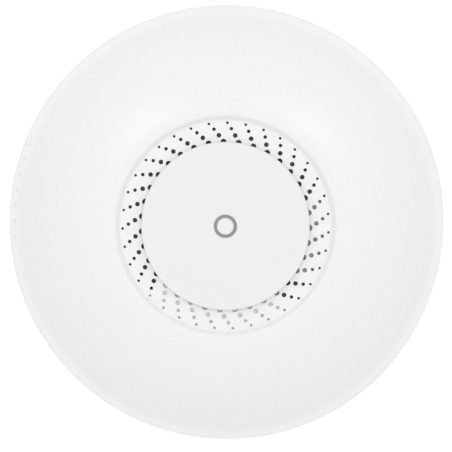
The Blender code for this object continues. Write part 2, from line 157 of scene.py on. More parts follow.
def applyModifiers(obj):
    graph = bpy.context.evaluated_depsgraph_get()
    mesh = bpy.data.meshes.new_from_object(obj.evaluated_get(graph))
    mesh.name = obj.name
    old = obj.data
    obj.modifiers.clear()
    obj.data = mesh
    if old.users == 0:
        bpy.data.meshes.remove(old)
    return obj


def combine(obj, tools, operation):
    for tool in tools:
        modifier = obj.modifiers.new("shape", "BOOLEAN")
        modifier.operation = operation
        modifier.object = tool
    applyModifiers(obj)
    for tool in tools:
        bpy.data.objects.remove(tool)
    return obj


def mergedInto(name, objects):
    # several objects' meshes as one piece
    shape = bmesh.new()
    for obj in objects:
        shape.from_mesh(obj.data)
        bpy.data.objects.remove(obj)
    return newObject(name, meshFrom(shape, name))


def smooth(obj, degrees=35):
    # level faces stay flat, so that long thin ones round a hole don't shade unevenly
    obj.data.shade_smooth()
    obj.data.set_sharp_from_angle(angle=radians(degrees))
    for face in obj.data.polygons:
        if abs(face.normal.z) > levelNormal:
            face.use_smooth = False
    return obj


def finishPiece(obj, body, slot, finish, *nodes):
    obj.data.materials.clear()
    obj.data.materials.append(finish)
    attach(obj, body)
    if nodes:
        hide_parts(*nodes)


# geometry node trees
def newTree(name, inputs):
    tree = bpy.data.node_groups.new(name, "GeometryNodeTree")
    tree.interface.new_socket("Geometry", in_out="INPUT", socket_type="NodeSocketGeometry")
    tree.interface.new_socket("Geometry", in_out="OUTPUT", socket_type="NodeSocketGeometry")
    for label, kind in inputs:
        tree.interface.new_socket(label, in_out="INPUT", socket_type=kind)
    return tree


def treeNode(tree, kind, **values):
    node = tree.nodes.new(kind)
    for key, value in values.items():
        setattr(node, key, value)
    return node


def setInputs(modifier, values):
    # inputs are set by the socket's identifier, found from its name
    for item in modifier.node_group.interface.items_tree:
        if item.item_type == "SOCKET" and item.in_out == "INPUT" and item.name in values:
            modifier[item.identifier] = values[item.name]


def grown(name, tree, values, startMesh=None):
    # runs a tree on an object and keeps its result as a plain mesh
    obj = newObject(name, startMesh or bpy.data.meshes.new(name))
    modifier = obj.modifiers.new("grow", "NODES")
    modifier.node_group = tree
    setInputs(modifier, values)
    return applyModifiers(obj)


def copiesTree():
    inputs = [("Copy", "NodeSocketObject"), ("Finish", "NodeSocketMaterial")]
    tree = newTree("copiesOnPoints", inputs)
    link = tree.links.new
    given = treeNode(tree, "NodeGroupInput")
    result = treeNode(tree, "NodeGroupOutput")
    copy = treeNode(tree, "GeometryNodeObjectInfo")
    turn = treeNode(tree, "GeometryNodeInputNamedAttribute", data_type="FLOAT_VECTOR")
    turn.inputs["Name"].default_value = "turn"
    place = treeNode(tree, "GeometryNodeInstanceOnPoints")
    real = treeNode(tree, "GeometryNodeRealizeInstances")
    paint = treeNode(tree, "GeometryNodeSetMaterial")
    link(given.outputs["Copy"], copy.inputs["Object"])
    link(given.outputs["Geometry"], place.inputs["Points"])
    link(copy.outputs["Geometry"], place.inputs["Instance"])
    link(turn.outputs["Attribute"], place.inputs["Rotation"])
    link(place.outputs["Instances"], real.inputs["Geometry"])
    link(real.outputs["Geometry"], paint.inputs["Geometry"])
    link(given.outputs["Finish"], paint.inputs["Material"])
    link(paint.outputs["Geometry"], result.inputs["Geometry"])
    return tree


def copiesOf(name, prototype, places, finish):
    # places are (x, y, z, turnX, turnZ) in mm and degrees
    mesh = bpy.data.meshes.new(name)
    mesh.from_pydata([(x * mm, y * mm, z * mm) for x, y, z, _, _ in places], [], [])
    turns = mesh.attributes.new("turn", "FLOAT_VECTOR", "POINT")
    for item, (_, _, _, turnX, turnZ) in zip(turns.data, places):
        item.vector = (radians(turnX), 0, radians(turnZ))
    made = grown(name, copyTree, {"Copy": prototype, "Finish": finish}, mesh)
    bpy.data.objects.remove(prototype)
    return made


copyTree = copiesTree()
print("trees ready")


# finishes; scales are per metre, bump depths in metres
plasticGrain = {"clouds": 22, "patches": 140, "glossLow": 0.96, "glossHigh": 1.05, "bump": 0.25}
metalGrain = {"strokes": 1.5, "dark": 0.86, "glossLow": 0.8, "glossHigh": 1.25,
              "bump": 0.15, "depth": 0.00003}
boardPattern = {"tracks": 260, "edge": (0.04, 0.09), "ground": (0.012, 0.07, 0.03),
                "raised": (0.03, 0.16, 0.07), "patches": 300, "gloss": (0.3, 0.45),
                "bump": 0.4, "depth": 0.00004}
padGrain = {"speckle": 1800, "dark": 0.8, "gloss": (0.75, 0.95), "bump": 0.5, "depth": 0.00006}


def newFinish(name):
    finish = bpy.data.materials.new(name)
    finish.use_nodes = True
    nodes, link = finish.node_tree.nodes, finish.node_tree.links.new
    where = nodes.new("ShaderNodeTexCoord").outputs["Object"]
    return finish, nodes, link, nodes["Principled BSDF"], where


def darkened(colour, share):
    return tuple(c * share for c in colour)


def noiseNode(nodes, link, where, scale, detail, stretch=None):
    noise = nodes.new("ShaderNodeTexNoise")
    noise.inputs["Scale"].default_value = scale
    noise.inputs["Detail"].default_value = detail
    if stretch:
        mapping = nodes.new("ShaderNodeMapping")
        mapping.inputs["Scale"].default_value = stretch
        link(where, mapping.inputs["Vector"])
        where = mapping.outputs["Vector"]
    link(where, noise.inputs["Vector"])
    return noise.outputs["Fac"]


def rangeNode(nodes, link, value, low, high, fromLow=0.3, fromHigh=0.7):
    ramp = nodes.new("ShaderNodeMapRange")
    ramp.inputs["From Min"].default_value = fromLow
    ramp.inputs["From Max"].default_value = fromHigh
    ramp.inputs["To Min"].default_value = low
    ramp.inputs["To Max"].default_value = high
    link(value, ramp.inputs["Value"])
    return ramp.outputs["Result"]


def mixNode(nodes, link, factor, first, second):
    mix = nodes.new("ShaderNodeMix")
    mix.data_type = "RGBA"
    mix.inputs[6].default_value = (*first, 1)  # the colour sockets of this node
    mix.inputs[7].default_value = (*second, 1)
    link(factor, mix.inputs[0])
    return mix.outputs[2]


def bumpNode(nodes, link, height, shader, strength, distance):
    bump = nodes.new("ShaderNodeBump")
    bump.inputs["Strength"].default_value = strength
    bump.inputs["Distance"].default_value = distance
    link(height, bump.inputs["Height"])
    link(bump.outputs["Normal"], shader.inputs["Normal"])


def mouldedPlastic(name, colour, roughness, grain=2600, grainDepth=0.00002, spread=0.012):
    # a faint cloud in the colour, patches in the gloss and a fine moulded grain
    finish, nodes, link, shader, where = newFinish(name)
    clouds = noiseNode(nodes, link, where, plasticGrain["clouds"], 3)
    tint = mixNode(nodes, link, clouds, darkened(colour, 1 - spread), colour)
    link(tint, shader.inputs["Base Color"])
    patches = noiseNode(nodes, link, where, plasticGrain["patches"], 4)
    low, high = plasticGrain["glossLow"], plasticGrain["glossHigh"]
    gloss = rangeNode(nodes, link, patches, roughness * low, roughness * high)
    link(gloss, shader.inputs["Roughness"])
    fine = noiseNode(nodes, link, where, grain, 2)
    bumpNode(nodes, link, fine, shader, plasticGrain["bump"], grainDepth)
    return finish


def sheetMetal(name, colour, roughness, stretch=(30, 900, 900)):
    # rolling strokes, long one way and narrow the other
    finish, nodes, link, shader, where = newFinish(name)
    strokes = noiseNode(nodes, link, where, metalGrain["strokes"], 4, stretch)
    tint = mixNode(nodes, link, strokes, darkened(colour, metalGrain["dark"]), colour)
    link(tint, shader.inputs["Base Color"])
    low, high = metalGrain["glossLow"], metalGrain["glossHigh"]
    gloss = rangeNode(nodes, link, strokes, roughness * low, roughness * high)
    link(gloss, shader.inputs["Roughness"])
    bumpNode(nodes, link, strokes, shader, metalGrain["bump"], metalGrain["depth"])
    shader.inputs["Metallic"].default_value = 1.0
    return finish


def circuitBoard(name):
    # square cells with raised tracks between them
    finish, nodes, link, shader, where = newFinish(name)
    cells = nodes.new("ShaderNodeTexVoronoi")
    cells.feature = "DISTANCE_TO_EDGE"
    cells.distance = "CHEBYCHEV"
    cells.inputs["Scale"].default_value = boardPattern["tracks"]
    link(where, cells.inputs["Vector"])
    tracks = rangeNode(nodes, link, cells.outputs["Distance"], 1, 0, *boardPattern["edge"])
    tint = mixNode(nodes, link, tracks, boardPattern["ground"], boardPattern["raised"])
    link(tint, shader.inputs["Base Color"])
    patches = noiseNode(nodes, link, where, boardPattern["patches"], 3)
    link(rangeNode(nodes, link, patches, *boardPattern["gloss"]), shader.inputs["Roughness"])
    bumpNode(nodes, link, tracks, shader, boardPattern["bump"], boardPattern["depth"])
    return finish


def softPad(name, colour):
    finish, nodes, link, shader, where = newFinish(name)
    speckle = noiseNode(nodes, link, where, padGrain["speckle"], 5)
    tint = mixNode(nodes, link, speckle, darkened(colour, padGrain["dark"]), colour)
    link(tint, shader.inputs["Base Color"])
    link(rangeNode(nodes, link, speckle, *padGrain["gloss"]), shader.inputs["Roughness"])
    bumpNode(nodes, link, speckle, shader, padGrain["bump"], padGrain["depth"])
    return finish


finishes = {
    "coverWhite": mouldedPlastic("coverWhite", (0.85, 0.85, 0.848), 0.27, 2600, 0.000003, 0.008),
    "capWhite": mouldedPlastic("capWhite", (0.818, 0.816, 0.813), 0.42, 3200, 0.00001),
    # the housing and ring are darker copies of the cap's white satin: painted shade, so that the
    # back keeps its form under the bright sky
    "housingWhite": mouldedPlastic("housingWhite", (0.67, 0.67, 0.663), 0.48, 1500, 0.00006),
    "ringWhite": mouldedPlastic("ringWhite", (0.58, 0.58, 0.573), 0.5, 1500, 0.00006),
    "lightGuide": mouldedPlastic("lightGuide", (0.288, 0.279, 0.272), 0.36, 2200, 0.00002, 0.03),
    "windowFrost": mouldedPlastic("windowFrost", (0.80, 0.80, 0.79), 0.3, 2200, 0.00002, 0.02),
    "greyPlastic": mouldedPlastic("greyPlastic", (0.35, 0.35, 0.35), 0.5, 1800, 0.00004, 0.06),
    "blackPlastic": mouldedPlastic("blackPlastic", (0.028, 0.027, 0.026), 0.5, 1500, 0.00006, 0.2),
    # a dark brown of painted shade: it stands in for the shaded inside of the cover seen through
    # the vent holes
    "innerBlack": mouldedPlastic("innerBlack", (0.11, 0.092, 0.082), 0.7, 1500, 0.00006, 0.2),
    "spreaderMetal": sheetMetal("spreaderMetal", (0.93, 0.92, 0.91), 0.64),
    "tinPlate": sheetMetal("tinPlate", (0.66, 0.66, 0.64), 0.3, (500, 60, 500)),
    "zincScrew": sheetMetal("zincScrew", (0.6, 0.6, 0.59), 0.32, (700, 700, 90)),
    "brassPost": sheetMetal("brassPost", (0.75, 0.58, 0.28), 0.3, (90, 90, 700)),
    "goldContact": sheetMetal("goldContact", (0.85, 0.62, 0.25), 0.25, (60, 500, 500)),
    "boardGreen": circuitBoard("boardGreen"),
    "padGrey": softPad("padGrey", (0.42, 0.47, 0.6)),
}
print("finishes ready:", len(finishes))


# front cover
cover = {
    "rim": 140.0, "rimZ": -14.0, "crest": 72.0, "crestZ": -45.6, "power": 1.6, "wall": 2.4,
    "floorZ": -42.5, "floorBack": -40.7, "floorEdge": 66.15, "guideHole": 12.5,
    "brimStart": 74.0, "brimEnd": 133.0, "brimParts": 40, "steps": 280, "guideSteps": 70,
    "insideStart": 76.0, "insideParts": 18,
    # corners: radius, Z and fillet
    "trenchFoot": (66.9, -42.5, 1.75), "trenchTop": (69.9, -45.56, 3.4),
    "ridge": (69.3, -43.2, 1.0), "floorRim": (66.6, -40.7, 0.2),
    "lip": ((135.2, -17.95, 4.0), (139.1, -16.6, 1.5), (139.95, -14.5, 0.9),
            (139.2, -13.25, 0.35), (137.6, -13.2, 0.25), (137.6, -15.7, 0.6),
            (133.6, -16.5, 0)),
}
vents = {
    "arms": 35, "start": -6.6, "sides": 24, "chamfer": 0.1, "chamferDepth": 0.12,
    "chamferParts": 3,
    "rows": ((65.2, 0.84, 0.0), (61.5, 1.12, 2.43), (57.4, 1.47, 5.04), (53.2, 1.82, 7.93)),
}
windows = {
    "count": 7, "radius": 136.1, "start": 176.33, "step": 4.32, "deep": 1.15, "wide": 2.5,
    "endParts": 8, "cutTop": -12.5, "cutBottom": -20, "lensGap": 0.04, "lensTop": -15.0,
    "lensBottom": -17.45, "lensRounding": 0.08,
}
statusBar = {"inner": 133.7, "outer": 137.0, "top": -13.4, "bottom": -15.2, "spare": 2,
             "rounding": 0.2}


def brimZ(radius):
    share = (radius - cover["crest"]) / (cover["rim"] - cover["crest"])
    return cover["rimZ"] + (cover["crestZ"] - cover["rimZ"]) * (1 - share ** cover["power"])


def coverProfile():
    # from the floor's front edge up the trench wall, over the brim and lip, and back inside
    start, end, parts = cover["brimStart"], cover["brimEnd"], cover["brimParts"]
    trench = [(cover["floorEdge"], cover["floorZ"], 0), cover["trenchFoot"], cover["trenchTop"],
              (start, brimZ(start), 0)]
    front = filleted(trench, closed=False, segments=8)
    radii = [start + (end - start) * i / parts for i in range(1, parts + 1)]
    brim = [Vector((r, brimZ(r))) for r in radii]
    lip = [(end, brimZ(end), 0), *cover["lip"]]
    edge = filleted(lip, closed=False, segments=7)[1:]
    inside = []
    low, parts = cover["insideStart"], cover["insideParts"]
    for r in [end - (end - low) * i / parts for i in range(parts + 1)]:
        slope = (brimZ(r + 0.1) - brimZ(r - 0.1)) / 0.2
        inside.append(Vector((r, brimZ(r) + cover["wall"] * hypot(1, slope))))
    back = filleted([(low, inside[-1].y, 0), cover["ridge"], cover["floorRim"],
                     (cover["floorEdge"], cover["floorBack"], 0)], closed=False)[1:]
    return front + brim + edge + inside + back


def ventTree():
    # a flat ring with slanting rows of round holes, front and back faces and the holes' walls
    inputs = [("Edge Radius", "NodeSocketFloat"), ("Edge Steps", "NodeSocketInt"),
              ("Centre Hole", "NodeSocketFloat"), ("Centre Steps", "NodeSocketInt"),
              ("Arms", "NodeSocketInt"), ("Hole Sides", "NodeSocketInt"),
              ("Chamfer", "NodeSocketFloat"), ("Front", "NodeSocketFloat"),
              ("Back", "NodeSocketFloat"), ("Hole Wall", "NodeSocketObject"),
              ("Finish", "NodeSocketMaterial")]
    for row in range(len(vents["rows"])):
        for what in ("Radius", "Hole", "Turn"):
            inputs.append((f"Row {row + 1} {what}", "NodeSocketFloat"))
    tree = newTree("ventRing", inputs)
    link = tree.links.new
    given = treeNode(tree, "NodeGroupInput")
    result = treeNode(tree, "NodeGroupOutput")

    def circle(steps, radius):
        made = treeNode(tree, "GeometryNodeCurvePrimitiveCircle")
        link(steps, made.inputs["Resolution"])
        link(radius, made.inputs["Radius"])
        return made.outputs["Curve"]

    def times(first, second):
        made = treeNode(tree, "ShaderNodeMath", operation="MULTIPLY")
        link(first, made.inputs[0])
        link(second, made.inputs[1])
        return made.outputs[0]

    rowPoints = []
    for row in range(len(vents["rows"])):
        ring = circle(given.outputs["Arms"], given.outputs[f"Row {row + 1} Radius"])
        spin = treeNode(tree, "ShaderNodeCombineXYZ")
        link(given.outputs[f"Row {row + 1} Turn"], spin.inputs["Z"])
        turned = treeNode(tree, "GeometryNodeTransform")
        link(ring, turned.inputs["Geometry"])
        link(spin.outputs["Vector"], turned.inputs["Rotation"])
        rowPoints.append(turned.outputs["Geometry"])
    flange = treeNode(tree, "ShaderNodeMath", operation="ADD")
    flange.inputs[0].default_value = 1.0
    link(given.outputs["Chamfer"], flange.inputs[1])
    allParts = treeNode(tree, "GeometryNodeJoinGeometry")

    for side in ("Front", "Back"):
        outlines = treeNode(tree, "GeometryNodeJoinGeometry")
        outer = circle(given.outputs["Edge Steps"], given.outputs["Edge Radius"])
        inner = circle(given.outputs["Centre Steps"], given.outputs["Centre Hole"])
        link(outer, outlines.inputs[0])
        link(inner, outlines.inputs[0])
        for row, points in enumerate(rowPoints):
            size = given.outputs[f"Row {row + 1} Hole"]
            if side == "Front":
                size = times(size, flange.outputs[0])
            holes = treeNode(tree, "GeometryNodeInstanceOnPoints")
            link(points, holes.inputs["Points"])
            link(circle(given.outputs["Hole Sides"], size), holes.inputs["Instance"])
            link(holes.outputs["Instances"], outlines.inputs[0])
        whole = treeNode(tree, "GeometryNodeRealizeInstances")
        link(outlines.outputs[0], whole.inputs["Geometry"])
        fill = treeNode(tree, "GeometryNodeFillCurve")
        link(whole.outputs["Geometry"], fill.inputs["Curve"])
        lift = treeNode(tree, "ShaderNodeCombineXYZ")
        link(given.outputs[side], lift.inputs["Z"])
        raised = treeNode(tree, "GeometryNodeSetPosition")
        link(fill.outputs["Mesh"], raised.inputs["Geometry"])
        link(lift.outputs["Vector"], raised.inputs["Offset"])
        link(raised.outputs["Geometry"], allParts.inputs[0])

    sleeve = treeNode(tree, "GeometryNodeObjectInfo")
    link(given.outputs["Hole Wall"], sleeve.inputs["Object"])
    for row, points in enumerate(rowPoints):
        scale = treeNode(tree, "ShaderNodeCombineXYZ")
        scale.inputs["Z"].default_value = 1.0
        link(given.outputs[f"Row {row + 1} Hole"], scale.inputs["X"])
        link(given.outputs[f"Row {row + 1} Hole"], scale.inputs["Y"])
        walls = treeNode(tree, "GeometryNodeInstanceOnPoints")
        link(points, walls.inputs["Points"])
        link(sleeve.outputs["Geometry"], walls.inputs["Instance"])
        link(scale.outputs["Vector"], walls.inputs["Scale"])
        link(walls.outputs["Instances"], allParts.inputs[0])
    real = treeNode(tree, "GeometryNodeRealizeInstances")
    link(allParts.outputs[0], real.inputs["Geometry"])
    paint = treeNode(tree, "GeometryNodeSetMaterial")
    link(real.outputs["Geometry"], paint.inputs["Geometry"])
    link(given.outputs["Finish"], paint.inputs["Material"])
    link(paint.outputs["Geometry"], result.inputs["Geometry"])
    return tree


def holeWall():
    # one hole's wall, of radius 1 m so that each row scales it to its own size
    front, back = cover["floorZ"] * mm, cover["floorBack"] * mm
    wide, depth, parts = vents["chamfer"], vents["chamferDepth"] * mm, vents["chamferParts"]
    profile = [(1 + wide, front)]
    for k in range(1, parts + 1):
        angle = pi / 2 * k / parts
        profile.append((1 + wide * (1 - sin(angle)), front + depth * (1 - cos(angle))))
    profile.append((1, back))
    shape = turnedShape([(r / mm, z / mm) for r, z in profile], vents["sides"], closed=False)
    return newObject("holeWall", meshFrom(shape, "holeWall"))


def ventRing():
    sleeve = holeWall()
    values = {
        "Edge Radius": cover["floorEdge"] * mm, "Edge Steps": cover["steps"],
        "Centre Hole": cover["guideHole"] * mm, "Centre Steps": cover["guideSteps"],
        "Arms": vents["arms"], "Hole Sides": vents["sides"], "Chamfer": vents["chamfer"],
        "Front": cover["floorZ"] * mm, "Back": cover["floorBack"] * mm,
        "Hole Wall": sleeve, "Finish": finishes["coverWhite"],
    }
    for row, (radius, hole, turn) in enumerate(vents["rows"], 1):
        values[f"Row {row} Radius"] = radius * mm
        values[f"Row {row} Hole"] = hole * mm
        values[f"Row {row} Turn"] = radians(vents["start"] + turn)
    made = grown("ventRing", ventTree(), values)
    bpy.data.objects.remove(sleeve)
    return made


def roundEnded(long, wide, parts):
    # a slot's outline round 0, 0: its ends are half circles
    outline = []
    for side in (1, -1):
        for k in range(parts + 1):
            angle = pi / 2 - pi * k / parts
            across = side * (long - wide + wide * cos(angle))
            outline.append((across, side * wide * sin(angle)))
    return outline


def windowOutline(index, margin):
    deep, wide = windows["deep"] / 2 + margin, windows["wide"] / 2 + margin
    middle = polar(windows["radius"], windows["start"] + windows["step"] * index).xy
    outward = middle.normalized()
    along = Vector((-outward.y, outward.x))
    return [middle + along * x + outward * y
            for x, y in roundEnded(wide, deep, windows["endParts"])]


def makeCover():
    shell = turnedShape(coverProfile(), cover["steps"], closed=False)
    shellObject = newObject("coverShell", meshFrom(shell, "coverShell"))
    edge = [(cover["guideHole"], cover["floorZ"]), (cover["guideHole"], cover["floorBack"])]
    strip = turnedShape(edge, cover["guideSteps"], closed=False)
    stripObject = newObject("guideEdge", meshFrom(strip, "guideEdge"))
    piece = mergedInto("front_cover_dish", [shellObject, stripObject, ventRing()])
    shape = bmesh.new()
    shape.from_mesh(piece.data)
    bmesh.ops.remove_doubles(shape, verts=shape.verts, dist=0.02 * mm)
    bmesh.ops.recalc_face_normals(shape, faces=shape.faces)
    openEdges = sum(not e.is_manifold for e in shape.edges)
    shape.to_mesh(piece.data)
    shape.free()
    cuts = [slabPiece("windowCut", windowOutline(i, 0.0), windows["cutTop"], windows["cutBottom"])
            for i in range(windows["count"])]
    combine(piece, [mergedInto("windowCuts", cuts)], "DIFFERENCE")
    smooth(piece, 32)
    finishPiece(piece, "unit", "white_gloss", finishes["coverWhite"], "front_cover")
    print("cover:", len(piece.data.polygons), "faces,", openEdges, "open edges")


def makeStatusLights():
    # one bar under the lip with a lens up into each window
    start = windows["start"] - statusBar["spare"]
    end = windows["start"] + windows["step"] * (windows["count"] - 1) + statusBar["spare"]
    outline = sectorOutline(statusBar["inner"], statusBar["outer"], start, end, 40)
    bar = slabPiece("bar", outline, statusBar["top"], statusBar["bottom"], statusBar["rounding"])
    lenses = [slabPiece("lens", windowOutline(i, -windows["lensGap"]), windows["lensTop"],
                        windows["lensBottom"], windows["lensRounding"])
              for i in range(windows["count"])]
    piece = combine(bar, lenses, "UNION")
    piece.name = "status_windows"
    smooth(piece)
    finishPiece(piece, "unit", "clear_frosted", finishes["windowFrost"], "status_light_pipe")
    print("status windows:", windows["count"])


makeCover()
makeStatusLights()


# centre disc and ring light
disc = {"radius": 53.1, "face": -47.0, "under": -45.2, "skirt": -42.8, "wall": 2.6, "collar": 11.5}
lightRing = {"outer": 7.3, "inner": 5.3, "gap": 0.06, "proud": 0.03, "back": -39.8,
             "hubBack": -40.2, "flange": 11.0, "flangeTop": -41.2, "flangeBottom": -42.4}


def makeDisc():
    face, hole = disc["face"], lightRing["outer"] + lightRing["gap"]
    edge, inner = disc["radius"], disc["radius"] - disc["wall"]
    under, skirt, collar = disc["under"], disc["skirt"], disc["collar"]
    corners = [(edge, skirt, 0.3), (edge, face, 0.7), (hole, face, 0.12), (hole, skirt, 0.1),
               (collar, skirt, 0.3), (collar, under, 0.3), (inner, under, 0.3),
               (inner, skirt, 0.3)]
    piece = smooth(turnedPiece("centre_disc", corners, 256))
    finishPiece(piece, "unit", "white_satin", finishes["capWhite"], "centre_cap")


def makeLightRing():
    face = disc["face"]
    outer, inner = lightRing["outer"], lightRing["inner"]
    front, back, flange = face + lightRing["proud"], lightRing["back"], lightRing["flange"]
    top, bottom = lightRing["flangeTop"], lightRing["flangeBottom"]
    corners = [(outer, front, 0.12), (inner, front, 0.12), (inner, back, 0.1),
               (outer, back, 0.1), (outer, top, 0.1), (flange, top, 0.15),
               (flange, bottom, 0.15), (outer, bottom, 0.1)]
    piece = smooth(turnedPiece("ring_light", corners, 160))
    finishPiece(piece, "unit", "light_guide", finishes["lightGuide"], "light_ring")
    edge = inner - lightRing["gap"]
    back = lightRing["hubBack"]
    corners = [(0, face, 0), (edge, face, 0.12), (edge, back, 0.2), (0, back, 0)]
    piece = smooth(turnedPiece("ring_light_button", corners, 128, closed=False))
    finishPiece(piece, "unit", "white_satin", finishes["capWhite"], "light_ring_hub")
    print("disc and ring light done")


makeDisc()
makeLightRing()


# rear housing
housing = {
    "back": -1.5, "shell": 2.2, "recess": 66.0, "recessZ": -9.0, "steps": 224,
    # corners of the shoulder outside and inside: radius, Z and fillet
    "shoulder": ((104, -1.5, 4), (110, -2.2, 10), (131.4, -10.8, 3), (137.2, -11.0, 0.4),
                 (137.2, -12.9, 0.3), (131.5, -12.8, 2), (108.5, -4.5, 5), (104, -3.7, 2)),
}
well = {
    "x": 20.5, "low": 7.0, "high": 37.0, "floor": -25.9, "wall": 2.0, "sunk": 0.5, "open": -5,
    "window": ((-17.8, 3.0, -25.2), (17.8, 8.0, -12.3)),
}
coolingSlots = {"count": 32, "middle": 119.5, "long": 11.0, "wide": 2.2, "reach": 8, "endParts": 8}
screwCircles = {"cover": 97.0, "board": 80.0}
# round posts and holes: radius, top and bottom
posts = {"coverBoss": (5.5, -2.0, -14.0), "boardPost": (3.5, -3.0, -26.0),
         "bracketPost": (2.5, -4.6, -19.7)}
holes = {"sink": (4.3, 1, -5.5), "coverHole": (1.9, 1, -16), "boardBore": (1.5, -16, -28),
         "buttonHole": (2.7, 1, -6)}
lips = {"inner": 57.5, "half": 10, "top": -1.8, "bottom": -4.2, "rounding": 0.25}
bracketCircle = 111
quarters = (45, 135, 225, 315)
sides = (0, 90, 180, 270)
lugPlaces = (90, 210, 330)
buttonPlace = polar(84.0, 200.0)


def roundPost(name, radius, top, bottom, place, steps=40):
    profile = [(0, top), (radius, top), (radius, bottom), (0, bottom)]
    shape = turnedShape(profile, steps, closed=False)
    bmesh.ops.recalc_face_normals(shape, faces=shape.faces)
    bmesh.ops.translate(shape, verts=shape.verts, vec=(place[0] * mm, place[1] * mm, 0))
    return newObject(name, meshFrom(shape, name))


def slotCutter():
    # one slot with round ends, made once and copied round the shoulder
    long, wide = coolingSlots["long"] / 2, coolingSlots["wide"] / 2
    outline = roundEnded(long, wide, coolingSlots["endParts"])
    return slabPiece("slotCutter", outline, coolingSlots["reach"], -coolingSlots["reach"])


def makeHousing():
    shell, recess, recessZ = (housing[k] for k in ("shell", "recess", "recessZ"))
    back, lining = housing["back"], recess + shell
    corners = [(0, recessZ, 0), (recess, recessZ, 0.5), (recess, back, 0.6), *housing["shoulder"],
               (lining, back - shell, 0.5), (lining, recessZ - shell, 0.5),
               (0, recessZ - shell, 0)]
    piece = turnedPiece("rear_housing_pan", corners, housing["steps"], closed=False)
    x, wall = well["x"], well["wall"]
    added = [blockPiece("well", (-x - wall, well["low"] - wall, well["floor"]),
                        (x + wall, well["high"] + wall, recessZ - well["sunk"]))]
    removed = [blockPiece("wellRoom", (-x, well["low"], well["floor"] + wall),
                          (x, well["high"], well["open"]), 1.0),
               blockPiece("jackWindow", *well["window"], 0.3),
               roundPost("buttonHole", *holes["buttonHole"], buttonPlace, 48)]
    for angle in quarters:
        place = polar(screwCircles["cover"], angle)
        added.append(roundPost("boss", *posts["coverBoss"], place))
        removed.append(roundPost("sink", *holes["sink"], place, 56))
        removed.append(roundPost("hole", *holes["coverHole"], place))
        place = polar(screwCircles["board"], angle)
        added.append(roundPost("post", *posts["boardPost"], place))
        removed.append(roundPost("bore", *holes["boardBore"], place))
    for angle in sides:
        added.append(roundPost("bracketPost", *posts["bracketPost"], polar(bracketCircle, angle)))
    for angle in lugPlaces:
        outline = sectorOutline(lips["inner"], recess + 1, angle - lips["half"],
                                angle + lips["half"], 24)
        added.append(slabPiece("lip", outline, lips["top"], lips["bottom"], lips["rounding"]))
    combine(piece, [mergedInto("addedParts", added)], "UNION")
    step = 360 / coolingSlots["count"]
    turns = [step * (i + 0.5) for i in range(coolingSlots["count"])]
    places = [(*polar(coolingSlots["middle"], a, -coolingSlots["reach"]), 0, a) for a in turns]
    removed.append(copiesOf("coolingSlots", slotCutter(), places, finishes["housingWhite"]))
    combine(piece, removed[:1], "DIFFERENCE")
    combine(piece, removed[1:3] + [mergedInto("holes", removed[3:])], "DIFFERENCE")
    smooth(piece, 30)
    finishPiece(piece, "unit", "white_satin", finishes["housingWhite"], "rear_housing")
    print("housing:", len(piece.data.polygons), "faces")


makeHousing()


# mounting ring
ring = {
    "radius": 56.0, "skirt": 3.0, "plate": -2.5, "bottom": -6.7, "lug": 64.5, "lugTop": -4.5,
    "lugStart": -11, "lugEnd": 13.5, "stopStart": 10.5, "stopTop": -2.0, "root": 1.2, "sunk": 0.5,
    "cable": ((-20, 8, -8), (20, 38, 3)), "slots": ((44, 0), (-44, 0), (28, -36), (-28, -36)),
    "slotHalf": (5, 2.5), "cutTop": 3, "cutBottom": -8,
}


def makeRing():
    radius, bottom, plate = ring["radius"], ring["bottom"], ring["plate"]
    bore = radius - ring["skirt"]
    corners = [(0, 0, 0), (radius, 0, 0.5), (radius, bottom, 0.5), (bore, bottom, 0.5),
               (bore, plate, 0.8), (0, plate, 0)]
    piece = turnedPiece("ceiling_ring", corners, 192, closed=False)
    root, lugTop = radius - ring["root"], ring["lugTop"]
    for angle in lugPlaces:
        start, end = angle + ring["lugStart"], angle + ring["lugEnd"]
        lug = sectorOutline(root, ring["lug"], start, end, 26)
        stop = sectorOutline(root, ring["lug"], angle + ring["stopStart"], end, 5)
        combine(piece, [slabPiece("lug", lug, lugTop, bottom, 0.3)], "UNION")
        combine(piece, [slabPiece("stop", stop, ring["stopTop"], lugTop - ring["sunk"], 0.2)],
                "UNION")
    removed = [blockPiece("cableOpening", *ring["cable"], 1.5)]
    halfX, halfY = ring["slotHalf"]
    for x, y in ring["slots"]:
        removed.append(blockPiece("fixingSlot", (x - halfX, y - halfY, ring["cutBottom"]),
                                  (x + halfX, y + halfY, ring["cutTop"]), 1.0))
    combine(piece, [mergedInto("ringCuts", removed)], "DIFFERENCE")
    smooth(piece, 30)
    finishPiece(piece, "ring", "white_satin", finishes["ringWhite"], "mounting_ring")
    print("mounting ring:", len(piece.data.polygons), "faces")


makeRing()


# screws, button and jacks
screwSizes = {
    "cover": {"head": 3.6, "tall": 2.4, "shank": 1.45, "long": 18, "pitch": 1.2},
    "board": {"head": 2.7, "tall": 1.7, "shank": 1.15, "long": 9, "pitch": 0.8},
    "spreader": {"head": 2.6, "tall": 1.6, "shank": 1.1, "long": 7, "pitch": 0.8},
}
screwSeats = {"cover": -5.2, "board": -28.2, "spreader": -38.3}
screwRecess = {"reach": 0.55, "low": 0.4, "half": 0.38, "top": 9}
standoffPlaces = ((-36, 23), (34, 25), (0, -34))
jack = {
    "places": (-9.0, 9.0), "half": 8, "back": -11.3, "front": 4.7, "low": -26.0, "high": -12.6,
    "mouth": (5.9, -7.5, 6, -23.2, -15), "notch": (3.2, -2, 6, -24.8, -22),
}
contacts = {"count": 8, "pitch": 1.02, "half": 0.22, "back": -7.3, "front": -0.5,
            "low": -15.5, "high": -15.2, "pivotZ": -15.3, "tilt": 14}


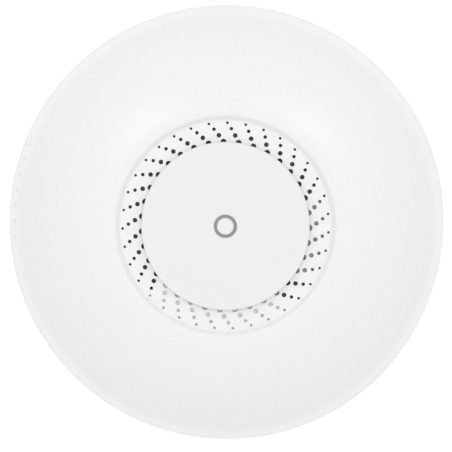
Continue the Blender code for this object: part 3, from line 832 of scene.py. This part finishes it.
def makeScrew(size):
    # a pan head with a crossed recess and a ribbed shank
    head, tall, shank, long = (size[k] for k in ("head", "tall", "shank", "long"))
    corners = [(0, tall, 0), (head * 0.8, tall, head * 0.25), (head, tall * 0.5, head * 0.2),
               (head, 0, 0.15), (shank, 0, 0.1)]
    turns = int((long - 1.5) / size["pitch"])
    for turn in range(turns):
        z = -0.4 - turn * size["pitch"]
        corners += [(shank * 0.78, z, 0), (shank, z - size["pitch"] * 0.5, 0)]
    corners += [(shank * 0.6, -long + 0.6, 0), (0, -long, 0)]
    piece = turnedPiece("screw", corners, 36, closed=False, segments=4)
    reach, low = head * screwRecess["reach"], tall * screwRecess["low"]
    half, top = screwRecess["half"], screwRecess["top"]
    for x, y in ((reach, half), (half, reach)):
        cutter = blockPiece("recess", (-x, -y, low), (x, y, top), 0.1)
        combine(piece, [cutter], "DIFFERENCE")
    return piece


def makeScrews():
    # head up in the housing, head down under the board and the spreader
    seats = {
        "cover": [(*polar(screwCircles["cover"], a, screwSeats["cover"]), 0, a + 20)
                  for a in quarters],
        "board": [(*polar(screwCircles["board"], a, screwSeats["board"]), 180, a)
                  for a in quarters],
        "spreader": [(x, y, screwSeats["spreader"], 180, 30 * i)
                     for i, (x, y) in enumerate(standoffPlaces)],
    }
    for kind, places in seats.items():
        screw = makeScrew(screwSizes[kind])
        piece = copiesOf(f"{kind}_screws", screw, places, finishes["zincScrew"])
        smooth(piece, 30)
        nodes = [f"{kind}_screw_{i + 1}" for i in range(len(places))]
        finishPiece(piece, "unit", "screw_steel", finishes["zincScrew"], *nodes)
    print("screws done")


def makeButton():
    # head, collar and a long pin down to the switch
    corners = [(0, -2.5, 0), (2.35, -2.5, 0.35), (2.35, -4.4, 0.1), (3.5, -4.4, 0.2),
               (3.5, -5.4, 0.2), (1.5, -5.4, 0.2), (1.5, -20.4, 0.3), (0, -20.4, 0)]
    piece = turnedPiece("reset_pin", corners, 48, closed=False)
    piece.data.transform(Matrix.Translation(buttonPlace * mm))
    smooth(piece)
    finishPiece(piece, "button", "grey_plastic", finishes["greyPlastic"], "reset_button")


def makeJack(index, centre):
    # a socket with its stepped mouth and eight sprung contacts
    piece = blockPiece(f"network_socket_{index}",
                       (centre - jack["half"], jack["back"], jack["low"]),
                       (centre + jack["half"], jack["front"], jack["high"]), 0.3)
    for part in ("mouth", "notch"):
        half, back, front, low, high = jack[part]
        cutter = blockPiece(part, (centre - half, back, low), (centre + half, front, high))
        combine(piece, [cutter], "DIFFERENCE")
    smooth(piece)
    finishPiece(piece, "unit", "black_plastic", finishes["blackPlastic"], f"ethernet_jack_{index}")
    pivot = Vector((0, contacts["front"], contacts["pivotZ"])) * mm
    tilt = Matrix.Rotation(radians(contacts["tilt"]), 4, "X")
    springs = []
    for k in range(contacts["count"]):
        x = centre + (k - (contacts["count"] - 1) / 2) * contacts["pitch"]
        half = contacts["half"]
        spring = blockPiece("contact", (x - half, contacts["back"], contacts["low"]),
                            (x + half, contacts["front"], contacts["high"]), 0.05, 1)
        spring.data.transform(Matrix.Translation(pivot) @ tilt @ Matrix.Translation(-pivot))
        springs.append(spring)
    row = mergedInto(f"socket_contacts_{index}", springs)
    finishPiece(row, "unit", "brass", finishes["goldContact"])


makeScrews()
makeButton()
for number, centre in enumerate(jack["places"], 1):
    makeJack(number, centre)
print("button and sockets done")


# heat spreader
spreader = {
    "top": -36.5, "bottom": -38.0, "inner": 47.0, "outer": 72.0,
    # runs round the outline: which radius, from and to in degrees, and how many points
    "runs": (("inner", -220, -18, 60), ("outer", -14, 34, 24), ("inner", 40, 50, 5),
             ("outer", 53.5, 139.5, 42)),
    "raised": (48.5, 70.0, 54.5, 138.5), "raisedFace": -40.3, "sunk": 0.6,
    "hole": 13.4, "screwHole": 1.7, "cutTop": -30, "cutBottom": -45,
}
antennaFrame = {
    "inner": 48.5, "outer": 70.0, "bridge": 67.8, "top": -38.6, "bottom": -39.8,
    "wideField": (141, 342), "smallField": (396, 411.5),
}


def makeSpreader():
    outline = []
    for which, start, end, count in spreader["runs"]:
        outline += arcOutline(spreader[which], start, end, count)
    piece = slabPiece("heat_plate", outline, spreader["top"], spreader["bottom"], 0.2)
    lobe = slabPiece("lobe", sectorOutline(*spreader["raised"], 48),
                     spreader["bottom"] + spreader["sunk"], spreader["raisedFace"], 0.5)
    combine(piece, [lobe], "UNION")
    top, bottom = spreader["cutTop"], spreader["cutBottom"]
    cuts = [roundPost("hole", spreader["hole"], top, bottom, (0, 0), 96)]
    cuts += [roundPost("hole", spreader["screwHole"], top, bottom, at) for at in standoffPlaces]
    combine(piece, [mergedInto("plateHoles", cuts)], "DIFFERENCE")
    smooth(piece, 30)
    finishPiece(piece, "unit", "aluminium", finishes["spreaderMetal"], "heat_spreader")
    print("heat spreader done")


def makeShadedAntennaFrame():
    # two dark fields under the holes, joined by a thin bridge that passes outside them; their dark
    # brown is painted shade, standing in for the shaded inside of the cover seen through the holes
    start, end = antennaFrame["wideField"]
    smallStart, smallEnd = antennaFrame["smallField"]
    outline = arcOutline(antennaFrame["outer"], start, smallEnd, 120)
    outline += arcOutline(antennaFrame["inner"], smallEnd, smallStart, 10)
    outline += arcOutline(antennaFrame["bridge"], smallStart, end, 26)
    outline += arcOutline(antennaFrame["inner"], end, start, 90)
    piece = slabPiece("antenna_carrier_arc", outline, antennaFrame["top"],
                      antennaFrame["bottom"], 0.2)
    smooth(piece, 30)
    finishPiece(piece, "unit", "black_plastic", finishes["innerBlack"], "antenna_frame")


makeSpreader()
makeShadedAntennaFrame()


# finishes on the pieces kept as they are
keptFinishes = {
    "main_board": "boardGreen", "led_board": "boardGreen", "status_led_board": "boardGreen",
    # the antenna bracket takes the same dark brown of painted shade
    "shield_can": "tinPlate", "antenna_bracket": "innerBlack", "antenna_lead": "blackPlastic",
    "antenna": "tinPlate", "thermal_pad": "padGrey", "standoff": "brassPost",
    "reset_switch": "blackPlastic",
}


def paintKept():
    painted = 0
    for name, obj in cadObjects.items():
        match = [key for key in keptFinishes if name.startswith(key)]
        if match:
            obj.data.materials.clear()
            obj.data.materials.append(finishes[keptFinishes[max(match, key=len)]])
            painted += 1
    print("kept pieces painted:", painted)


paintKept()


# floor, light and camera
room = {"floor": -2.4, "floorSize": 40.0, "horizon": 0.8, "zenith": 1.06, "low": 0.0, "high": 0.4}
view = {"distance": 1.6, "across": 0.2910, "tiltUp": 3.5, "tiltSide": 1.19,
        "aim": (-0.29, 1.84, -14.0), "sensor": 36, "clipEnd": 20}

# each lamp: direction round Z, lean from straight down, distance, width, length, watts
lamps = {
    "rightBox": (-45, 31, 1.3, 0.34, 0.5, 1.05),
    "leftBox": (-135, 31, 1.3, 0.34, 0.5, 1.05),
    "underBox": (0, 0, 2.3, 9.0, 9.0, 88.0),
    "backBox": (20, 135, 1.6, 0.8, 0.8, 2.6),
}


def makeFloor():
    shape = bmesh.new()
    bmesh.ops.create_grid(shape, x_segments=1, y_segments=1, size=room["floorSize"] / 2)
    floor = newObject("studio_floor", meshFrom(shape, "studio_floor"))
    floor.data.transform(Matrix.Translation((0, 0, room["floor"])))
    pale = mouldedPlastic("floorPale", (0.62, 0.62, 0.62), 0.8, 300, 0.0001, 0.01)
    floor.data.materials.append(pale)


def makeSky():
    # a plain sky, darker towards the horizon so that the sides keep their form
    world = bpy.data.worlds.new("studio")
    world.use_nodes = True
    nodes, link = world.node_tree.nodes, world.node_tree.links.new
    coords = nodes.new("ShaderNodeTexCoord")
    parts = nodes.new("ShaderNodeSeparateXYZ")
    link(coords.outputs["Generated"], parts.inputs[0])
    glow = rangeNode(nodes, link, parts.outputs["Z"], room["horizon"], room["zenith"],
                     room["low"], room["high"])
    link(glow, nodes["Background"].inputs["Strength"])
    nodes["Background"].inputs["Color"].default_value = (1, 1, 1, 1)
    scene.world = world


def makeLights():
    for name, (across, lean, distance, width, length, watts) in lamps.items():
        lamp = bpy.data.lights.new(name, "AREA")
        lamp.shape = "RECTANGLE"
        lamp.size, lamp.size_y = width, length
        lamp.energy = watts
        light = bpy.data.objects.new(name, lamp)
        low = radians(lean)
        turn = radians(across)
        away = Vector((sin(low) * cos(turn), sin(low) * sin(turn), -cos(low)))
        light.location = away * distance
        light.rotation_euler = away.to_track_quat("Z", "Y").to_euler()
        scene.collection.objects.link(light)


def makeCamera():
    lens = bpy.data.cameras.new("camera")
    lens.sensor_width = view["sensor"]
    lens.lens = view["sensor"] * view["distance"] / view["across"]
    lens.clip_end = view["clipEnd"]
    camera = bpy.data.objects.new("camera", lens)
    scene.collection.objects.link(camera)
    side, up = radians(view["tiltSide"]), radians(view["tiltUp"])
    away = Vector((sin(side), -sin(up), -cos(up) * cos(side))).normalized()
    aim = Vector(view["aim"]) * mm
    camera.location = aim + away * view["distance"]
    upward = away.cross(Vector((1, 0, 0))).normalized()
    right = upward.cross(away).normalized()
    camera.rotation_euler = Matrix((right, upward, away)).transposed().to_euler()
    scene.camera = camera


makeFloor()
makeSky()
makeLights()
makeCamera()
scene.view_settings.view_transform = "Standard"
print("stage done")
